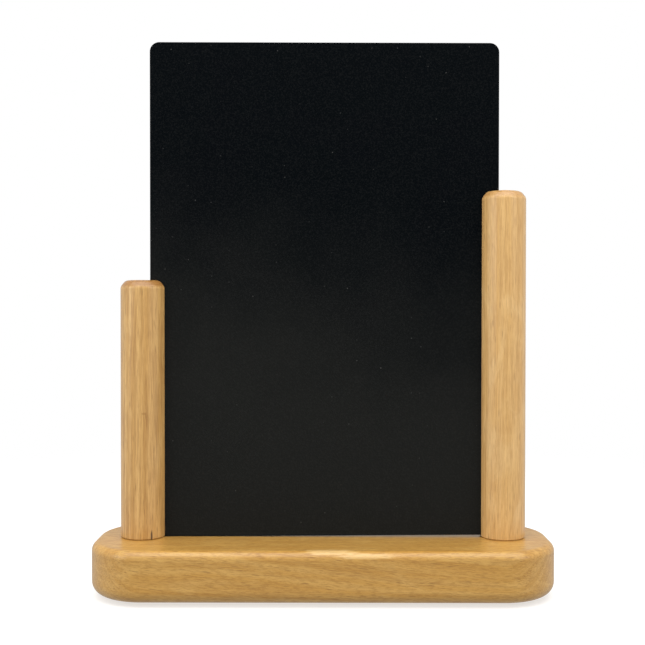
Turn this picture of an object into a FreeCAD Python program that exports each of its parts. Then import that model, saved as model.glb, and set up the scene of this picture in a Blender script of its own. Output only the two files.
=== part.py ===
"""Table-top menu chalkboard: a writing board held upright between two slotted round posts on a hardwood base.

Frame: millimetres, +Z up, +X along the board's width, the short post at -X and the tall post at +X, the writer
at -Y. The origin is on the table, midway between the base's ends and faces.
"""
import FreeCAD, Part
import Sketcher

import os
import re

DIMENSIONS = {
    # base block
    "base_overhang": 10.7,      # base's end beyond the side of the post
    "base_depth": 59.0,
    "base_thickness": 21.5,
    "base_corner": 23.5,        # plan radius of the four corners
    "base_top_round": 3.5,
    "base_foot_round": 5.5,
    # felt pads under the base
    "pad_diameter": 12.0,
    "pad_thickness": 1.5,
    "pad_round": 0.5,
    "pad_inset": 18.0,          # pad centre to the base's end and to its long face
    # posts
    "post_diameter": 19.0,
    "short_post_height": 109.2,
    "tall_post_height": 147.0,
    "post_top_chamfer": 2.2,    # how far the shoulder comes in
    "post_top_drop": 2.7,       # how far down it starts
    "post_top_round": 2.8,      # softens both edges of the shoulder
    "post_foot_chamfer": 0.5,
    # board
    "board_width": 148.0,
    "board_height": 210.0,
    "board_corner": 4.0,
    "core_thickness": 2.4,
    "skin_thickness": 0.3,
    "skin_edge": 0.12,          # broken outer edge of each skin
    "board_foot_rise": 0.9,     # bottom edge sawn out of square, higher at the +X end
    "board_top_fall": 0.4,      # top edge likewise, lower at the +X end
    "board_shift": 0.5,         # off centre within the play of the slots
    "seat_clearance": 0.05,
    # slots
    "slot_clearance": 0.4,      # slot width over board thickness
    "slot_end_gap": 0.7,        # board edge to slot floor on each side, board centred
    "slot_floor": 2.0,          # slot floor to the post's axis
    # post screws
    "screw_outset": 2.2,        # screw axis beyond the post axis, away from the slot
    "screw_length": 38.0,
    "screw_thread": 3.5,
    "screw_core": 2.3,
    "screw_point": 3.5,
    "thread_length": 23.0,
    "thread_pitch": 1.6,
    "thread_root": 0.9,         # width of the thread where it meets the core
    "thread_sink": 0.1,         # how far the thread starts inside the core
    "head_diameter": 7.0,
    "head_rim": 0.5,
    "head_sink": 3.0,           # head face to the underside of the base
    "recess_width": 1.1,
    "recess_span": 4.0,
    "recess_depth": 1.5,
    "well_clearance": 1.0,      # well diameter over head diameter
    "shank_clearance": 0.4,     # clearance hole over thread diameter
    "pilot_clearance": 1.5,     # pilot hole past the screw's point
}

DERIVED = {
    "board_half": "board_width / 2",
    "board_thickness": "core_thickness + 2 * skin_thickness",
    "slot_width": "board_thickness + slot_clearance",
    "post_radius": "post_diameter / 2",
    "post_x": "board_half + slot_end_gap + slot_floor",
    "half_length": "post_x + post_radius + base_overhang",
    "half_depth": "base_depth / 2",
    "base_top": "pad_thickness + base_thickness",
    "pad_x": "half_length - pad_inset",
    "pad_y": "half_depth - pad_inset",
    "board_seat": "base_top + seat_clearance",
    "screw_x": "post_x + screw_outset",
    "head_face": "pad_thickness + head_sink",
    "head_radius": "head_diameter / 2",
    "thread_radius": "screw_thread / 2",
    "core_radius": "screw_core / 2",
    "shank_length": "screw_length - thread_length",
    "well_radius": "(head_diameter + well_clearance) / 2",
    "hole_radius": "(screw_thread + shank_clearance) / 2",
    "pilot_depth": "head_face + screw_length + pilot_clearance - base_top",
}

CUT_MARGIN = 1.0                # how far a cutting profile runs past the solid

doc = FreeCAD.newDocument("menu_board")
sheet = doc.addObject("Spreadsheet::Sheet", "dims")
working = doc.addObject("Spreadsheet::Sheet", "working")
made = []


# ---------------------------------------------------------------- sheet and sketch helpers

def fill_sheet():
    """Driving sizes as plain numbers, then the sizes worked out from them."""
    row = 0
    for table in (DIMENSIONS, DERIVED):
        for alias, content in table.items():
            row += 1
            sheet.set(f"A{row}", alias)
            sheet.set(f"B{row}", str(content) if table is DIMENSIONS else f"={content}")
            sheet.setAlias(f"B{row}", alias)
            doc.recompute()


def bound(expression):
    """An expression in the sheet's aliases, written as another object reads it."""
    return re.sub(r"[a-z_]+", lambda m: f"dims.{m[0]}" if m[0] in DIMENSIONS or m[0] in DERIVED else m[0],
                  expression)


def length_of(expression):
    return f"({bound(expression)}) * 1 mm"


def size(expression):
    """The value of an expression in the sheet's aliases, worked out on a sheet that nothing depends on."""
    working.set("A1", f"={bound(expression)}")
    working.recompute()
    return float(working.get("A1"))


def new_body(label, x="0", y="0", z="0"):
    body = doc.addObject("PartDesign::Body", label)
    body.Label = label
    for axis, expression in (("x", x), ("y", y), ("z", z)):
        body.setExpression(f".Placement.Base.{axis}", length_of(expression))
    made.append(body)
    return body


def origin(body, role):
    return next(f for f in body.Origin.OriginFeatures if f.Role == role)


def new_sketch(body, name, role="XY_Plane", across="0", lift="0"):
    """A sketch on one of the body's origin planes, moved across its own x and lifted along its normal."""
    sketch = body.newObject("Sketcher::SketchObject", name)
    sketch.AttachmentSupport = (origin(body, role), [""])
    sketch.MapMode = "FlatFace"
    sketch.setExpression(".AttachmentOffset.Base.x", length_of(across))
    sketch.setExpression(".AttachmentOffset.Base.z", length_of(lift))
    return sketch


def drive(sketch, expression, kind, *where):
    """A dimension tied to the sheet."""
    index = sketch.addConstraint(Sketcher.Constraint(kind, *where, 1.0))
    sketch.setExpression(f"Constraints[{index}]", length_of(expression))


def place_point(sketch, geometry, point, x, y):
    """Ties a point to the sketch's origin by two dimensions, or puts it on an axis where one is zero."""
    for kind, value, axis in (("DistanceX", x, -2), ("DistanceY", y, -1)):
        if value == "0":
            sketch.addConstraint(Sketcher.Constraint("PointOnObject", geometry, point, axis))
        else:
            drive(sketch, value, kind, -1, 1, geometry, point)


def outline(sketch, corners):
    """A closed outline of straight lines through corners given as pairs of expressions."""
    start = [tuple(size(e) for e in corner) for corner in corners]
    count = len(corners)
    lines = []
    for i in range(count):
        a, b = start[i], start[(i + 1) % count]
        lines.append(sketch.addGeometry(Part.LineSegment(FreeCAD.Vector(*a, 0), FreeCAD.Vector(*b, 0))))
    for i in range(count):
        sketch.addConstraint(Sketcher.Constraint("Coincident", lines[i], 2, lines[(i + 1) % count], 1))
    for line, (x, y) in zip(lines, corners):
        place_point(sketch, line, 1, x, y)


def circle(sketch, diameter, x="0"):
    g = sketch.addGeometry(Part.Circle(FreeCAD.Vector(size(x), 0, 0), FreeCAD.Vector(0, 0, 1), 1.0))
    place_point(sketch, g, 3, x, "0")
    drive(sketch, diameter, "Diameter", g)


# ---------------------------------------------------------------- feature helpers

def feature(body, kind, name, profile=None, **values):
    item = body.newObject(f"PartDesign::{kind}", name)
    if profile is not None:
        item.Profile = profile
        profile.Visibility = False
    for key, value in values.items():
        if isinstance(value, str) and key in ("Length", "Radius", "Size", "Size2", "Pitch", "Height"):
            item.setExpression(key, length_of(value))
        else:
            setattr(item, key, value)
    doc.recompute()
    if kind in ("Pocket", "Groove") and not item.Shape.Volume < item.BaseFeature.Shape.Volume - 1e-3:
        raise RuntimeError(f"{name} cuts nothing")
    return item


def edges(item, wanted):
    """Names of the edges of a feature for which wanted(edge) is true."""
    return [f"Edge{i}" for i, edge in enumerate(item.Shape.Edges, 1) if wanted(edge)]


def flat_at(axis, value):
    """True for an edge that lies in the plane where the axis has that value."""
    def test(edge):
        low, high = getattr(edge.BoundBox, axis + "Min"), getattr(edge.BoundBox, axis + "Max")
        return abs(low - value) < 1e-4 and abs(high - value) < 1e-4
    return test


def along(axis):
    """True for a straight edge along that axis."""
    def test(edge):
        if not isinstance(edge.Curve, Part.Line):
            return False
        return abs(abs(getattr(edge.Curve.Direction, axis)) - 1) < 1e-6
    return test


# ---------------------------------------------------------------- the pieces

def make_base():
    """The block, all its edges rounded, with a well and a countersunk hole under each post."""
    body = new_body("base", z="pad_thickness")
    plan = new_sketch(body, "base_plan")
    outline(plan, [("-half_length", "-half_depth"), ("half_length", "-half_depth"),
                   ("half_length", "half_depth"), ("-half_length", "half_depth")])
    block = feature(body, "Pad", "base_block", plan, Length="base_thickness")
    corners = feature(body, "Fillet", "base_corners", Base=(block, edges(block, along("z"))),
                      Radius="base_corner")
    top = feature(body, "Fillet", "base_top_edge", Radius="base_top_round",
                  Base=(corners, edges(corners, flat_at("Z", size("base_thickness")))))
    feature(body, "Fillet", "base_foot_edge", Base=(top, edges(top, flat_at("Z", 0))),
            Radius="base_foot_round")
    hole = new_sketch(body, "screw_hole_section", "XZ_Plane", across="screw_x")
    seat = "head_sink + head_rim"
    below, above = f"-{CUT_MARGIN}", f"base_thickness + {CUT_MARGIN}"
    sunk = f"{seat} + head_radius - hole_radius"
    outline(hole, [("0", below), ("well_radius", below), ("well_radius", seat), ("head_radius", seat),
                   ("hole_radius", sunk), ("hole_radius", above), ("0", above)])
    right = feature(body, "Groove", "screw_hole", hole, ReferenceAxis=(hole, ["V_Axis"]), Angle=360)
    left = feature(body, "Mirrored", "screw_hole_mirrored", Originals=[right],
                   MirrorPlane=(origin(body, "YZ_Plane"), [""]))
    body.Tip = left
    doc.recompute()
    if not left.Shape.Volume < right.Shape.Volume - 1e-3:
        raise RuntimeError("the mirrored screw hole cuts nothing")


def make_post(label, side, turn, height):
    """A round post with a softened shoulder at the top and a slot down its whole length.

    The slot faces the body's own +X, which the turn about the post's axis points at the board.
    """
    body = new_body(label, x=f"{side} * post_x", z="base_top")
    body.Placement.Rotation = FreeCAD.Rotation(FreeCAD.Vector(0, 0, 1), turn)
    rod = new_sketch(body, label + "_section")
    circle(rod, "post_diameter")
    post = feature(body, "Pad", label + "_rod", rod, Length=height)
    top = feature(body, "Chamfer", label + "_top", Base=(post, edges(post, flat_at("Z", size(height)))),
                  ChamferType="Two distances", Size="post_top_drop", Size2="post_top_chamfer")
    rims = edges(top, flat_at("Z", size(height)))
    rims += edges(top, flat_at("Z", size(f"{height} - post_top_drop")))
    soft = feature(body, "Fillet", label + "_top_soft", Base=(top, rims), Radius="post_top_round")
    feature(body, "Chamfer", label + "_foot", Base=(soft, edges(soft, flat_at("Z", 0))),
            Size="post_foot_chamfer")
    mouth = new_sketch(body, label + "_slot_section")
    clear = f"post_radius + {CUT_MARGIN}"
    outline(mouth, [("slot_floor", "-slot_width / 2"), (clear, "-slot_width / 2"),
                    (clear, "slot_width / 2"), ("slot_floor", "slot_width / 2")])
    feature(body, "Pocket", label + "_slot", mouth, Type="ThroughAll", Reversed=True)
    bore = new_sketch(body, label + "_pilot_section")
    circle(bore, "screw_core", "-screw_outset")
    feature(body, "Pocket", label + "_pilot", bore, Length="pilot_depth", Reversed=True)


def make_screw(label, side):
    """A countersunk wood screw, head down, with a cross recess and a helical thread."""
    body = new_body(label, x=f"{side} * screw_x", z="head_face")
    section = new_sketch(body, label + "_section", "XZ_Plane")
    neck = "head_rim + head_radius - thread_radius"
    outline(section, [("0", "0"), ("head_radius", "0"), ("head_radius", "head_rim"), ("thread_radius", neck),
                      ("thread_radius", "shank_length - thread_radius + core_radius"),
                      ("core_radius", "shank_length"), ("core_radius", "screw_length - screw_point"),
                      ("0", "screw_length")])
    feature(body, "Revolution", label + "_shank", section, ReferenceAxis=(section, ["V_Axis"]), Angle=360)
    for name, wide, deep in (("a", "recess_span", "recess_width"), ("b", "recess_width", "recess_span")):
        slot = new_sketch(body, f"{label}_recess_{name}_section")
        outline(slot, [(f"-{wide} / 2", f"-{deep} / 2"), (f"{wide} / 2", f"-{deep} / 2"),
                       (f"{wide} / 2", f"{deep} / 2"), (f"-{wide} / 2", f"{deep} / 2")])
        feature(body, "Pocket", f"{label}_recess_{name}", slot, Length="recess_depth", Reversed=True)
    tooth = new_sketch(body, label + "_thread_section", "XZ_Plane")
    inner = "core_radius - thread_sink"
    outline(tooth, [(inner, "shank_length"), ("thread_radius", "shank_length + thread_root / 2"),
                    (inner, "shank_length + thread_root")])
    feature(body, "AdditiveHelix", label + "_thread", tooth, ReferenceAxis=(tooth, ["V_Axis"]),
            Mode="pitch-height-angle", Pitch="thread_pitch",
            Height="thread_length - screw_point - thread_root")


def make_sheet_of_board(label, thickness, front):
    """One layer of the board. front is how far its front face stands forward of the board's middle plane."""
    body = new_body(label, x="board_shift", z="board_seat")
    face = new_sketch(body, label + "_face", "XZ_Plane", lift=f"{front} - {thickness}")
    outline(face, [("-board_half", "0"), ("board_half", "board_foot_rise"),
                   ("board_half", "board_height - board_top_fall"), ("-board_half", "board_height")])
    layer = feature(body, "Pad", label + "_layer", face, Length=thickness)
    return body, feature(body, "Fillet", label + "_corners", Base=(layer, edges(layer, along("y"))),
                         Radius="board_corner")


def make_board():
    """A fibreboard core between two writing skins, whose outer edges are broken."""
    make_sheet_of_board("board_core", "core_thickness", "core_thickness / 2")
    for label, front, outer in (("front_writing_skin", "board_thickness / 2", "-board_thickness / 2"),
                                ("rear_writing_skin", "skin_thickness - board_thickness / 2",
                                 "board_thickness / 2")):
        body, corners = make_sheet_of_board(label, "skin_thickness", front)
        feature(body, "Chamfer", label + "_edge", Base=(corners, edges(corners, flat_at("Y", size(outer)))),
                Size="skin_edge")


def make_pad(label, side_x, side_y):
    """A round felt pad stuck under the base."""
    body = new_body(label, x=f"{side_x} * pad_x", y=f"{side_y} * pad_y")
    disc = new_sketch(body, label + "_section")
    circle(disc, "pad_diameter")
    pad = feature(body, "Pad", label + "_disc", disc, Length="pad_thickness")
    feature(body, "Fillet", label + "_rim", Base=(pad, edges(pad, flat_at("Z", 0))), Radius="pad_round")


def check_and_write():
    """Stops on any failed object or unsound solid, then writes one file for each piece."""
    doc.recompute()
    failed = [o.Name for o in doc.Objects if "Invalid" in o.State or "Error" in o.State]
    if failed:
        raise RuntimeError(f"failed objects: {failed}")
    os.makedirs("parts", exist_ok=True)
    for body in made:
        shape = body.Shape
        if shape.isNull() or not shape.isValid() or len(shape.Solids) != 1:
            raise RuntimeError(f"{body.Label} is not one sound solid")
        print(f"{body.Label:20s} volume {shape.Volume:10.1f} mm3, {len(shape.Faces)} faces")
        shape.exportStep(f"parts/{body.Label}.step")


fill_sheet()
make_base()
make_post("short_post", -1, 0, "short_post_height")
make_post("tall_post", 1, 180, "tall_post_height")
make_screw("short_post_screw", -1)
make_screw("tall_post_screw", 1)
make_board()
for depth_name, side_y in (("front", -1), ("rear", 1)):
    for side_name, side_x in (("left", -1), ("right", 1)):
        make_pad(f"{depth_name}_{side_name}_pad", side_x, side_y)
check_and_write()
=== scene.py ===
import math

import bpy
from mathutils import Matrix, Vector


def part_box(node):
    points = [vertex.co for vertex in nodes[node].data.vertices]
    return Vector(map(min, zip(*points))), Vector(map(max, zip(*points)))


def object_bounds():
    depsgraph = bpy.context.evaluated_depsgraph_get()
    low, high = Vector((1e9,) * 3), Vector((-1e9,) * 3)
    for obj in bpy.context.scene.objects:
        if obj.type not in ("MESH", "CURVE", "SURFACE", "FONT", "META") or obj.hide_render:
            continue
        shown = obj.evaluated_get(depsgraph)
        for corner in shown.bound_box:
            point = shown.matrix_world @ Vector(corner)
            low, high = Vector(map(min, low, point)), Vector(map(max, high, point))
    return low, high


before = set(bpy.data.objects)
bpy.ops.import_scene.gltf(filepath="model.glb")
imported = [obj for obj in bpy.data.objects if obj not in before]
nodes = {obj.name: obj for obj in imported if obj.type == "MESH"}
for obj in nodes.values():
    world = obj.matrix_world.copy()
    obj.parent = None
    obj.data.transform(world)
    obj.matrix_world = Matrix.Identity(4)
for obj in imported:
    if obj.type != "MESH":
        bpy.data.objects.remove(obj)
cadLow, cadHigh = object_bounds()
print("frame loaded:", len(nodes), "pieces")


# small helpers for node trees

noiseSpan = (0.3, 0.7)  # where most of a noise pattern's values lie


def paint(red, green, blue):
    # display values 0-255 to the linear colour that sockets take
    def linear(value):
        share = value / 255
        return share / 12.92 if share <= 0.04045 else ((share + 0.055) / 1.055) ** 2.4
    return (linear(red), linear(green), linear(blue), 1.0)


def addNode(tree, kind, inputs=None, **settings):
    # an input is either linked from another node's socket or set to a value
    node = tree.nodes.new("ShaderNode" + kind)
    for name, value in settings.items():
        setattr(node, name, value)
    for key, value in (inputs or {}).items():
        if isinstance(value, bpy.types.NodeSocket):
            tree.links.new(value, node.inputs[key])
        else:
            node.inputs[key].default_value = value
    return node


def doMath(tree, operation, first, second=0.0, third=0.0):
    node = addNode(tree, "Math", {0: first, 1: second, 2: third}, operation=operation)
    return node.outputs["Value"]


def remap(tree, value, fromLow, fromHigh, toLow=0.0, toHigh=1.0, smooth=False):
    node = addNode(tree, "MapRange", {"Value": value, "From Min": fromLow, "From Max": fromHigh,
                                      "To Min": toLow, "To Max": toHigh},
                   interpolation_type="SMOOTHSTEP" if smooth else "LINEAR")
    return node.outputs["Result"]


def blendColours(tree, amount, first, second):
    # sockets 0, 6 and 7 are a Mix node's factor and its two colours, and output 2 is the mixed colour
    node = addNode(tree, "Mix", {0: amount, 6: first, 7: second}, data_type="RGBA")
    return node.outputs[2]


def stretch(tree, vector, factors):
    node = addNode(tree, "VectorMath", {0: vector, 1: factors}, operation="MULTIPLY")
    return node.outputs["Vector"]


def newGroup(name, inputs, outputs):
    group = bpy.data.node_groups.new(name, "ShaderNodeTree")
    for label, kind, value in inputs:
        socket = group.interface.new_socket(label, in_out="INPUT", socket_type="NodeSocket" + kind)
        socket.default_value = value
    for label, kind in outputs:
        group.interface.new_socket(label, in_out="OUTPUT", socket_type="NodeSocket" + kind)
    entry = group.nodes.new("NodeGroupInput")
    leave = group.nodes.new("NodeGroupOutput")
    return group, entry.outputs, leave.inputs


def newMaterial(name, fixed):
    material = bpy.data.materials.new(name)
    material.use_nodes = True
    tree = material.node_tree
    tree.nodes.clear()
    shader = addNode(tree, "BsdfPrincipled", fixed)
    addNode(tree, "OutputMaterial", {"Surface": shader.outputs["BSDF"]})
    place = addNode(tree, "TexCoord").outputs["Object"]
    return material, tree, shader, place


def useGroup(tree, group, values):
    return addNode(tree, "Group", values, node_tree=group).outputs


def noise(tree, vector, scale, detail, **more):
    inputs = {"Vector": vector, "Scale": scale, "Detail": detail, **more}
    return addNode(tree, "TexNoise", inputs).outputs["Fac"]


def roughen(tree, shader, height, depth):
    bump = addNode(tree, "Bump", {"Height": height, "Distance": depth, "Strength": 1.0})
    tree.links.new(bump.outputs["Normal"], shader.inputs["Normal"])


def finishSurface(tree, shader, tone, pattern, look):
    # the colour, and a roughness and a relief that follow one pattern
    tree.links.new(tone, shader.inputs["Base Color"])
    tree.links.new(remap(tree, pattern, *noiseSpan, *look["roughness"]), shader.inputs["Roughness"])
    roughen(tree, shader, pattern, look["relief"])


def giveFinish(material, *names):
    for name in names:
        for slot in nodes[name].material_slots:
            slot.material = material


# solid wood: growth rings round a pith, streaks, fine fibres, pale figure, and short dark pores
# the grain runs along the vector's Z, and its X and Y are measured from the pith
# sizes are in cells per metre, along is the pattern's scale down the grain, and edges are the values between which
# it comes in

grainPattern = {"drift": {"size": 60.0, "along": 0.22},
                "rings": {"edges": (0.35, 0.65)},
                "flame": {"size": 70.0, "factors": (1.0, 1.5, 0.45), "swirl": 1.6, "edges": (0.48, 0.70)},
                "streaks": {"along": 0.035, "edges": (0.42, 0.66)},
                "fibres": {"size": 2100.0, "edges": (0.44, 0.62), "roughness": (0.36, 0.46), "relief": 0.35},
                "pores": {"size": 1500.0, "along": 0.10, "edges": (0.10, 0.36), "depth": (0.10, 0.50),
                          "roughness": 0.3}}


def makeWoodGroup():
    group, given, result = newGroup("hardwoodGrain", [
        ("Grain Vector", "Vector", (0.0, 0.0, 0.0)), ("Ring Spacing", "Float", 0.003),
        ("Waviness", "Float", 0.002), ("Rings", "Float", 0.5), ("Streaks", "Float", 0.5),
        ("Streak Width", "Float", 0.0023), ("Flecks", "Float", 0.3), ("Fleck Stretch", "Float", 0.13),
        ("Pores", "Float", 0.3), ("Figure", "Float", 0.3),
        ("Pale", "Color", (0.6, 0.4, 0.2, 1)), ("Mid", "Color", (0.5, 0.3, 0.1, 1)),
        ("Dark", "Color", (0.3, 0.15, 0.05, 1)), ("Pore Tint", "Color", (0.1, 0.05, 0.02, 1))],
        [("Color", "Color"), ("Roughness", "Float"), ("Height", "Float")])

    def lay(under, pattern, value, amount, colour):
        # puts a colour over the tone where the pattern is strong
        low, high = grainPattern[pattern]["edges"]
        share = doMath(group, "MULTIPLY", remap(group, value, low, high, smooth=True), given[amount])
        return blendColours(group, share, under, given[colour])

    grain = given["Grain Vector"]
    drift = addNode(group, "TexNoise", {
        "Vector": stretch(group, grain, (1, 1, grainPattern["drift"]["along"])),
        "Scale": grainPattern["drift"]["size"], "Detail": 3.0, "Roughness": 0.5})
    # the whole grain sways, so that streaks and pores follow the rings
    off = addNode(group, "VectorMath", {0: drift.outputs["Color"], 1: (0.5, 0.5, 0.5)}, operation="SUBTRACT")
    sway = addNode(group, "VectorMath", {0: off.outputs["Vector"], "Scale": given["Waviness"]}, operation="SCALE")
    bent = addNode(group, "VectorMath", {0: grain, 1: sway.outputs["Vector"]}, operation="ADD").outputs["Vector"]
    across = addNode(group, "VectorMath", {0: stretch(group, bent, (1, 1, 0))}, operation="LENGTH")
    ringPlace = doMath(group, "DIVIDE", across.outputs["Value"], given["Ring Spacing"])
    rings = addNode(group, "TexNoise", {"W": ringPlace, "Scale": 1.0, "Detail": 3.0, "Roughness": 0.65},
                    noise_dimensions="1D").outputs["Fac"]
    tone = lay(given["Mid"], "rings", rings, "Rings", "Pale")
    flame = noise(group, stretch(group, bent, grainPattern["flame"]["factors"]), grainPattern["flame"]["size"],
                  3.0, Roughness=0.55, Distortion=grainPattern["flame"]["swirl"])
    tone = lay(tone, "flame", flame, "Figure", "Pale")
    streaks = noise(group, stretch(group, bent, (1, 1, grainPattern["streaks"]["along"])),
                    doMath(group, "DIVIDE", 1.0, given["Streak Width"]), 4.0, Roughness=0.7)
    tone = lay(tone, "streaks", streaks, "Streaks", "Dark")
    drawnOut = addNode(group, "CombineXYZ", {"X": 1.0, "Y": 1.0, "Z": given["Fleck Stretch"]}).outputs["Vector"]
    fibres = noise(group, stretch(group, bent, drawnOut), grainPattern["fibres"]["size"], 3.0, Roughness=0.7)
    tone = lay(tone, "fibres", fibres, "Flecks", "Dark")
    poreSet = grainPattern["pores"]
    cells = addNode(group, "TexVoronoi", {"Vector": stretch(group, bent, (1, 1, poreSet["along"])),
                                          "Scale": poreSet["size"]})
    core = remap(group, cells.outputs["Distance"], *poreSet["edges"], 1.0, 0.0, smooth=True)
    luck = addNode(group, "SeparateColor", {"Color": cells.outputs["Color"]}).outputs
    chosen = doMath(group, "LESS_THAN", luck["Red"], given["Pores"])
    depth = remap(group, luck["Green"], 0.0, 1.0, *poreSet["depth"])
    pores = doMath(group, "MULTIPLY", doMath(group, "MULTIPLY", core, chosen), depth)
    tone = blendColours(group, pores, tone, given["Pore Tint"])
    group.links.new(tone, result["Color"])
    worn = doMath(group, "ADD", remap(group, fibres, *noiseSpan, *grainPattern["fibres"]["roughness"]),
                  doMath(group, "MULTIPLY", pores, poreSet["roughness"]))
    group.links.new(worn, result["Roughness"])
    lift = doMath(group, "SUBTRACT", doMath(group, "MULTIPLY", fibres, grainPattern["fibres"]["relief"]), pores)
    group.links.new(lift, result["Height"])
    return group


# one soft ragged spot, for a flame of pale figure with painted highlight, a curl or a drying crack

markShape = {"fraySize": 3.0, "edges": (0.45, 1.0)}


def makeMarkGroup():
    group, given, result = newGroup("localMark", [
        ("Vector", "Vector", (0.0, 0.0, 0.0)), ("At", "Vector", (0.0, 0.0, 0.0)),
        ("Reach", "Vector", (0.01, 0.01, 0.01)), ("Ragged", "Float", 0.3), ("Strength", "Float", 0.5)],
        [("Mask", "Float")])
    away = addNode(group, "VectorMath", {0: given["Vector"], 1: given["At"]}, operation="SUBTRACT")
    scaled = addNode(group, "VectorMath", {0: away.outputs["Vector"], 1: given["Reach"]}, operation="DIVIDE")
    fray = noise(group, scaled.outputs["Vector"], markShape["fraySize"], 3.0)
    distance = addNode(group, "VectorMath", {0: scaled.outputs["Vector"]}, operation="LENGTH").outputs["Value"]
    spread = doMath(group, "MULTIPLY", doMath(group, "SUBTRACT", fray, 0.5), given["Ragged"])
    mask = remap(group, doMath(group, "ADD", distance, spread), *markShape["edges"], 1.0, 0.0, smooth=True)
    group.links.new(doMath(group, "MULTIPLY", mask, given["Strength"]), result["Mask"])
    return group


# a scatter of tiny specks, for dust on the board and lint in the felt
# each cell may hold one speck, and its size and strength vary from cell to cell

speckShape = {"sizes": (0.4, 1.0), "softFrom": 0.5, "strengths": (0.25, 1.0)}


def makeSpeckGroup():
    group, given, result = newGroup("scatteredSpecks", [
        ("Vector", "Vector", (0.0, 0.0, 0.0)), ("Cell Size", "Float", 0.002), ("Share", "Float", 0.1),
        ("Speck Size", "Float", 0.1)], [("Mask", "Float")])
    density = doMath(group, "DIVIDE", 1.0, given["Cell Size"])
    cells = addNode(group, "TexVoronoi", {"Vector": given["Vector"], "Scale": density})
    channels = addNode(group, "SeparateColor", {"Color": cells.outputs["Color"]}).outputs
    chosen = doMath(group, "LESS_THAN", channels["Red"], given["Share"])
    size = remap(group, channels["Green"], 0, 1, *speckShape["sizes"])
    reach = doMath(group, "MULTIPLY", given["Speck Size"], size)
    out = doMath(group, "DIVIDE", cells.outputs["Distance"], reach)
    near = remap(group, out, speckShape["softFrom"], 1.0, 1.0, 0.0)
    strength = remap(group, channels["Blue"], 0, 1, *speckShape["strengths"])
    speck = doMath(group, "MULTIPLY", doMath(group, "MULTIPLY", near, chosen), strength)
    group.links.new(speck, result["Mask"])
    return group


woodGroup = makeWoodGroup()
markGroup = makeMarkGroup()
speckGroup = makeSpeckGroup()
print("shared groups made")


# lacquered wood of the base and the posts

honey = {"pale": paint(206, 168, 98), "mid": paint(184, 139, 66), "dark": paint(140, 95, 38),
         "pore": paint(96, 60, 28)}
lacquer = {"Coat Weight": 0.50, "Coat Roughness": 0.22, "Coat IOR": 1.5, "Specular IOR Level": 0.30}
# faces of the posts that look up are darkened, partly as end grain and partly as painted shade against the
# overhead light
upwardFaceTilt = (0.15, 0.65)  # how far a face looks up before it counts as end grain


def makeWood(name, wood, grainOf):
    material, tree, shader, place = newMaterial(name, lacquer)
    look = useGroup(tree, woodGroup, {
        "Grain Vector": grainOf(tree, place, wood), "Ring Spacing": wood["ringSpacing"],
        "Waviness": wood["waviness"], "Rings": wood["rings"], "Streaks": wood["streaks"],
        "Streak Width": wood["streakWidth"], "Flecks": wood["flecks"], "Fleck Stretch": wood["fleckStretch"],
        "Pores": wood["pores"], "Figure": wood["figure"],
        "Pale": wood["pale"], "Mid": wood["mid"], "Dark": wood["dark"], "Pore Tint": honey["pore"]})
    tone = look["Color"]
    for mark in wood["marks"]:
        spot = useGroup(tree, markGroup, {"Vector": place, "At": mark["at"], "Reach": mark["reach"],
                                          "Ragged": mark["ragged"], "Strength": mark["strength"]})
        tone = blendColours(tree, spot["Mask"], tone, mark["tint"])
    # end grain drinks more lacquer and looks darker, and this darkening of faces that look up is also painted
    # shade, which keeps the post tops from shining too bright under the overhead light
    facing = addNode(tree, "SeparateXYZ", {"Vector": addNode(tree, "TexCoord").outputs["Normal"]}).outputs["Z"]
    endGrainShade = doMath(tree, "MULTIPLY", remap(tree, facing, *upwardFaceTilt, smooth=True), wood["endGrainAndShade"])
    tone = blendColours(tree, endGrainShade, tone, wood["dark"])
    tree.links.new(tone, shader.inputs["Base Color"])
    tree.links.new(look["Roughness"], shader.inputs["Roughness"])
    roughen(tree, shader, look["Height"], wood["relief"])
    return material


baseWood = {"pith": (0.075, -0.040), "slope": 0.07, "ringSpacing": 0.0017, "waviness": 0.0050,
            "rings": 0.40, "streaks": 0.26, "streakWidth": 0.0023, "flecks": 0.42, "fleckStretch": 0.15,
            "pores": 0.60, "figure": 0.36, "relief": 0.00006, "endGrainAndShade": 0.0,
            "pale": honey["pale"], "mid": honey["mid"], "dark": honey["dark"],
            # two pale flames along the top-front rounding: pale figure, with a painted highlight kept to the lit
            # band of the rounding
            "marks": [{"at": (0.003, -0.0275, 0.0227), "reach": (0.013, 0.004, 0.0011), "ragged": 1.2,
                       "strength": 0.40, "tint": paint(240, 210, 152)},
                      {"at": (0.017, -0.0285, 0.0213), "reach": (0.015, 0.004, 0.0012), "ragged": 1.2,
                       "strength": 0.36, "tint": paint(238, 206, 148)}]}


def grainAlongBase(tree, place, wood):
    # the grain lies along X and dips a little towards one end
    spot = addNode(tree, "SeparateXYZ", {"Vector": place}).outputs
    dip = doMath(tree, "MULTIPLY", spot["X"], wood["slope"])
    up = doMath(tree, "ADD", doMath(tree, "SUBTRACT", spot["Z"], wood["pith"][1]), dip)
    away = doMath(tree, "SUBTRACT", spot["Y"], wood["pith"][0])
    return addNode(tree, "CombineXYZ", {"X": away, "Y": up, "Z": spot["X"]}).outputs["Vector"]


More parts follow.
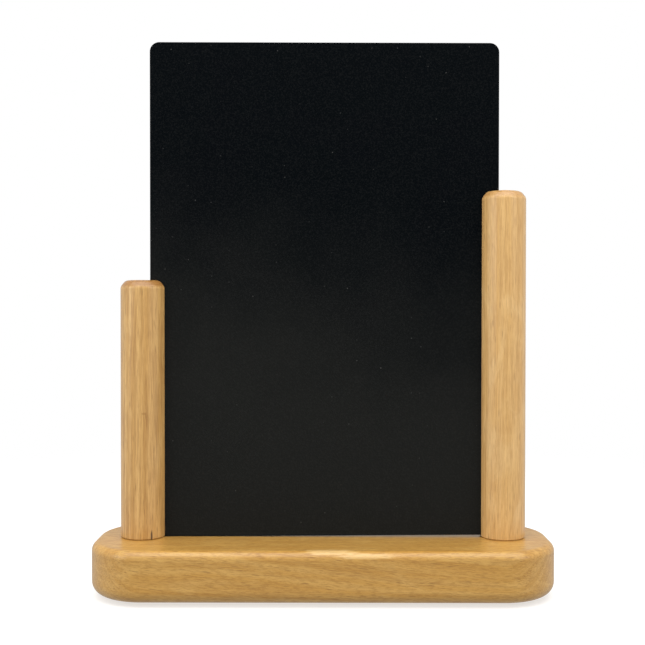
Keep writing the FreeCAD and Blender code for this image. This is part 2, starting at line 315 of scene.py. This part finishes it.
shortPostWood = {"pith": (-0.115, 0.030), "ringSpacing": 0.0020, "waviness": 0.0030, "rings": 0.55,
                 "streaks": 0.40, "streakWidth": 0.0015, "flecks": 0.34, "fleckStretch": 0.055, "pores": 0.30,
                 "figure": 0.26, "relief": 0.00005, "endGrainAndShade": 0.80,
                 "pale": paint(217, 179, 118), "mid": paint(190, 147, 84), "dark": paint(141, 96, 45),
                 "marks": [{"at": (-0.0748, -0.0090, 0.0762), "reach": (0.0013, 0.004, 0.0007), "ragged": 0.9,
                            "strength": 0.42, "tint": paint(140, 94, 46)},
                           {"at": (-0.0737, -0.0090, 0.0736), "reach": (0.0005, 0.004, 0.0036), "ragged": 0.9,
                            "strength": 0.38, "tint": paint(140, 94, 46)},
                           {"at": (-0.0719, -0.0090, 0.0244), "reach": (0.0005, 0.004, 0.0034), "ragged": 0.5,
                            "strength": 0.85, "tint": paint(58, 34, 20)}]}
tallPostWood = {"pith": (0.052, 0.042), "ringSpacing": 0.0024, "waviness": 0.0034, "rings": 0.50,
                "streaks": 0.30, "streakWidth": 0.0016, "flecks": 0.30, "fleckStretch": 0.06, "pores": 0.24,
                "figure": 0.50, "relief": 0.00005, "endGrainAndShade": 0.55,
                "pale": paint(226, 191, 135), "mid": paint(202, 159, 96), "dark": paint(154, 110, 58),
                "marks": []}


def grainUpPost(tree, place, wood):
    offset = (wood["pith"][0], wood["pith"][1], 0.0)
    return addNode(tree, "VectorMath", {0: place, 1: offset}, operation="SUBTRACT").outputs["Vector"]


giveFinish(makeWood("lacqueredBase", baseWood, grainAlongBase), "base")
giveFinish(makeWood("lacqueredShortPost", shortPostWood, grainUpPost), "short_post")
giveFinish(makeWood("lacqueredTallPost", tallPostWood, grainUpPost), "tall_post")
print("wood finished")


# the board: matt writing surface on both faces, dark fibreboard between

# upper and lower are the two ends of a painted reflection of the floor, dark at the top and grey near the base
writingSkin = {"upper": paint(4, 7, 10), "lower": paint(27, 28, 27), "greyFrom": 0.74, "greyTo": 0.20,
               "lean": 1.3, "cloudSize": 26.0, "cloudSway": 0.06, "speckTint": paint(150, 150, 148),
               "speckCell": 0.0034, "speckShare": 0.30, "speckSize": 0.12, "speckStrength": (0.06, 0.22),
               "dustEdges": (0.40, 0.62), "toothSize": 1500.0, "toothEdges": (0.45, 0.70), "toothShare": 0.014,
               "roughness": (0.68, 0.82), "relief": 0.00004}


def makeWritingSkin():
    material, tree, shader, place = newMaterial("chalkSurface", {"Specular IOR Level": 0.02})
    spot = addNode(tree, "SeparateXYZ", {"Vector": place}).outputs
    low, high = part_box("front_writing_skin")
    # painted reflection of the pale floor in the matt face: greyer lower down and to the left, darker higher up
    # and to the right
    reflectionHeight = remap(tree, spot["Z"], low.z, high.z)
    cloud = noise(tree, place, writingSkin["cloudSize"], 4.0)
    sway = remap(tree, cloud, *noiseSpan, -writingSkin["cloudSway"], writingSkin["cloudSway"])
    level = doMath(tree, "ADD", reflectionHeight, sway)
    level = doMath(tree, "MULTIPLY_ADD", spot["X"], writingSkin["lean"], level)
    share = remap(tree, level, writingSkin["greyTo"], writingSkin["greyFrom"], smooth=True)
    tone = blendColours(tree, share, writingSkin["lower"], writingSkin["upper"])
    tooth = noise(tree, place, writingSkin["toothSize"], 2.0)
    grey = remap(tree, tooth, *writingSkin["toothEdges"], 0.0, writingSkin["toothShare"])
    tone = blendColours(tree, grey, tone, writingSkin["speckTint"])
    specks = useGroup(tree, speckGroup, {"Vector": place, "Cell Size": writingSkin["speckCell"],
                                         "Share": writingSkin["speckShare"],
                                         "Speck Size": writingSkin["speckSize"]})["Mask"]
    settled = remap(tree, cloud, *writingSkin["dustEdges"], *writingSkin["speckStrength"])
    dust = doMath(tree, "MULTIPLY", specks, settled)
    tone = blendColours(tree, dust, tone, writingSkin["speckTint"])
    finishSurface(tree, shader, tone, tooth, writingSkin)
    return material


fibreboard = {"tone": paint(30, 23, 19), "fleck": paint(58, 44, 35), "fibreSize": 1400.0,
              "fleckEdges": (0.45, 0.75), "roughness": (0.75, 0.92), "relief": 0.00012}


def makeFibreboard():
    material, tree, shader, place = newMaterial("dyedFibreboard", {"Specular IOR Level": 0.2})
    fibres = noise(tree, place, fibreboard["fibreSize"], 4.0, Roughness=0.7)
    flecks = remap(tree, fibres, *fibreboard["fleckEdges"])
    tone = blendColours(tree, flecks, fibreboard["tone"], fibreboard["fleck"])
    finishSurface(tree, shader, tone, fibres, fibreboard)
    return material


giveFinish(makeWritingSkin(), "front_writing_skin", "rear_writing_skin")
giveFinish(makeFibreboard(), "board_core")
print("board finished")


# screws and felt pads, seen from below

screwSteel = {"bright": paint(198, 197, 190), "dull": paint(150, 148, 140), "brushing": 900.0,
              "brushAlong": (1, 1, 6), "edges": (0.35, 0.65), "roughness": (0.25, 0.42), "relief": 0.00003}


def makeScrewSteel():
    material, tree, shader, place = newMaterial("zincPlatedSteel", {"Metallic": 1.0})
    brushed = noise(tree, stretch(tree, place, screwSteel["brushAlong"]), screwSteel["brushing"], 3.0)
    shine = remap(tree, brushed, *screwSteel["edges"])
    tone = blendColours(tree, shine, screwSteel["dull"], screwSteel["bright"])
    finishSurface(tree, shader, tone, brushed, screwSteel)
    return material


feltPad = {"tone": paint(66, 52, 42), "fibre": paint(104, 86, 70), "lint": paint(160, 146, 128),
           "fibreSize": 900.0, "swirl": 1.2, "fibreEdges": (0.4, 0.7), "lintCell": 0.0012, "lintShare": 0.12,
           "lintSize": 0.2, "roughness": (0.85, 0.98), "relief": 0.00030}


def makeFelt():
    material, tree, shader, place = newMaterial("pressedFelt", {"Specular IOR Level": 0.1, "Sheen Weight": 0.3})
    fibres = noise(tree, place, feltPad["fibreSize"], 5.0, Roughness=0.75, Distortion=feltPad["swirl"])
    tone = blendColours(tree, remap(tree, fibres, *feltPad["fibreEdges"]), feltPad["tone"], feltPad["fibre"])
    lint = useGroup(tree, speckGroup, {"Vector": place, "Cell Size": feltPad["lintCell"],
                                       "Share": feltPad["lintShare"], "Speck Size": feltPad["lintSize"]})
    tone = blendColours(tree, lint["Mask"], tone, feltPad["lint"])
    finishSurface(tree, shader, tone, fibres, feltPad)
    return material


giveFinish(makeScrewSteel(), "short_post_screw", "tall_post_screw")
giveFinish(makeFelt(), *[name for name in nodes if name.endswith("_pad")])
print("screws and pads finished")


# stage: a pale floor that fades out into the white surround

floorSet = {"reach": 1.6, "fadeStart": 0.16, "fadeEnd": 0.46, "tone": (0.44, 0.44, 0.437, 1.0),
            "patch": (0.42, 0.42, 0.42, 1.0), "patchSize": 300.0, "patchShare": 0.02, "glow": 0.62}


def makeFloor():
    half = floorSet["reach"]
    corners = [(-half, -half, 0), (half, -half, 0), (half, half, 0), (-half, half, 0)]
    mesh = bpy.data.meshes.new("paleFloor")
    mesh.from_pydata(corners, [], [(0, 1, 2, 3)])
    floor = bpy.data.objects.new("paleFloor", mesh)
    bpy.context.collection.objects.link(floor)
    # a light table that is only looked at: its glow softens the shadow under the base and lights nothing
    material, tree, shader, place = newMaterial("paleFloor", {
        "Roughness": 0.9, "Specular IOR Level": 0.1, "Emission Color": (1.0, 1.0, 1.0, 1.0)})
    lookedAt = addNode(tree, "LightPath").outputs["Is Camera Ray"]
    glow = doMath(tree, "MULTIPLY", lookedAt, floorSet["glow"])
    tree.links.new(glow, shader.inputs["Emission Strength"])
    distance = addNode(tree, "VectorMath", {0: place}, operation="LENGTH").outputs["Value"]
    patches = remap(tree, noise(tree, place, floorSet["patchSize"], 2.0), *noiseSpan, 0.0, floorSet["patchShare"])
    shade = blendColours(tree, patches, floorSet["tone"], floorSet["patch"])
    tree.links.new(shade, shader.inputs["Base Color"])
    fade = remap(tree, distance, floorSet["fadeStart"], floorSet["fadeEnd"], 1.0, 0.0, smooth=True)
    # one-sided, so that the underside of the base can be looked at
    above = doMath(tree, "SUBTRACT", lookedAt, addNode(tree, "NewGeometry").outputs["Backfacing"])
    tree.links.new(doMath(tree, "MULTIPLY", fade, doMath(tree, "MAXIMUM", above, 0.0)), shader.inputs["Alpha"])
    mesh.materials.append(material)


surround = {"seen": (1.0, 1.0, 1.0, 1.0), "tint": (1.0, 0.99, 0.97, 1.0), "above": 0.70, "below": 0.54,
            "horizon": (-0.2, 0.7), "sides": 0.33, "flank": (0.45, 0.95)}


def makeSurround():
    # the surround looks white, and lights the object more from above and the sides than from below
    world = bpy.data.worlds.new("whiteSurround")
    world.use_nodes = True
    bpy.context.scene.world = world
    tree = world.node_tree
    tree.nodes.clear()
    spot = addNode(tree, "SeparateXYZ", {"Vector": addNode(tree, "TexCoord").outputs["Generated"]}).outputs
    upward = remap(tree, spot["Z"], *surround["horizon"], surround["below"], surround["above"], smooth=True)
    aside = doMath(tree, "ABSOLUTE", spot["X"])
    sideways = remap(tree, aside, *surround["flank"], 0.0, surround["sides"], smooth=True)
    power = doMath(tree, "ADD", upward, sideways)
    lighting = addNode(tree, "Background", {"Color": surround["tint"], "Strength": power})
    seen = addNode(tree, "Background", {"Color": surround["seen"], "Strength": 1.0})
    path = addNode(tree, "LightPath").outputs["Is Camera Ray"]
    mixed = addNode(tree, "MixShader", {0: path, 1: lighting.outputs[0], 2: seen.outputs[0]})
    addNode(tree, "OutputWorld", {"Surface": mixed.outputs[0]})


softboxes = {
    "overhead": {"at": (0.0, -0.30, 0.88), "size": (1.3, 0.90), "watts": 10.2, "tint": (1.0, 0.985, 0.96)},
    "keyRight": {"at": (0.85, -0.75, 0.55), "size": (0.6, 0.6), "watts": 2.5, "tint": (1.0, 0.97, 0.93)},
    "fillLeft": {"at": (-0.95, -0.65, 0.45), "size": (0.7, 0.7), "watts": 3.0, "tint": (0.97, 0.98, 1.0)}}


def makeSoftbox(name, box, target):
    lamp = bpy.data.lights.new(name, "AREA")
    lamp.shape = "RECTANGLE"
    lamp.size, lamp.size_y = box["size"]
    lamp.energy = box["watts"]
    lamp.color = box["tint"]
    stand = bpy.data.objects.new(name, lamp)
    stand.location = box["at"]
    stand.rotation_euler = (Vector(target) - Vector(box["at"])).to_track_quat("-Z", "Y").to_euler()
    bpy.context.collection.objects.link(stand)


viewpoint = {"at": (0.0011, -0.4319, 0.1206), "lens": 56.54, "sensor": 36.0,
             "tiltDown": 0.836, "turn": 0.178, "roll": -0.048}


def makeCamera():
    data = bpy.data.cameras.new("viewpoint")
    data.lens = viewpoint["lens"]
    data.sensor_width = viewpoint["sensor"]
    camera = bpy.data.objects.new("viewpoint", data)
    camera.location = viewpoint["at"]
    camera.rotation_euler = [math.radians(angle) for angle in
                             (90 - viewpoint["tiltDown"], viewpoint["roll"], viewpoint["turn"])]
    bpy.context.collection.objects.link(camera)
    bpy.context.scene.camera = camera


makeFloor()
makeSurround()
middle = (cadLow + cadHigh) / 2
for name, box in softboxes.items():
    makeSoftbox(name, box, middle)  # each one faces the middle of the object
makeCamera()
bpy.context.scene.view_settings.view_transform = "Standard"
print("stage, lights and camera set")
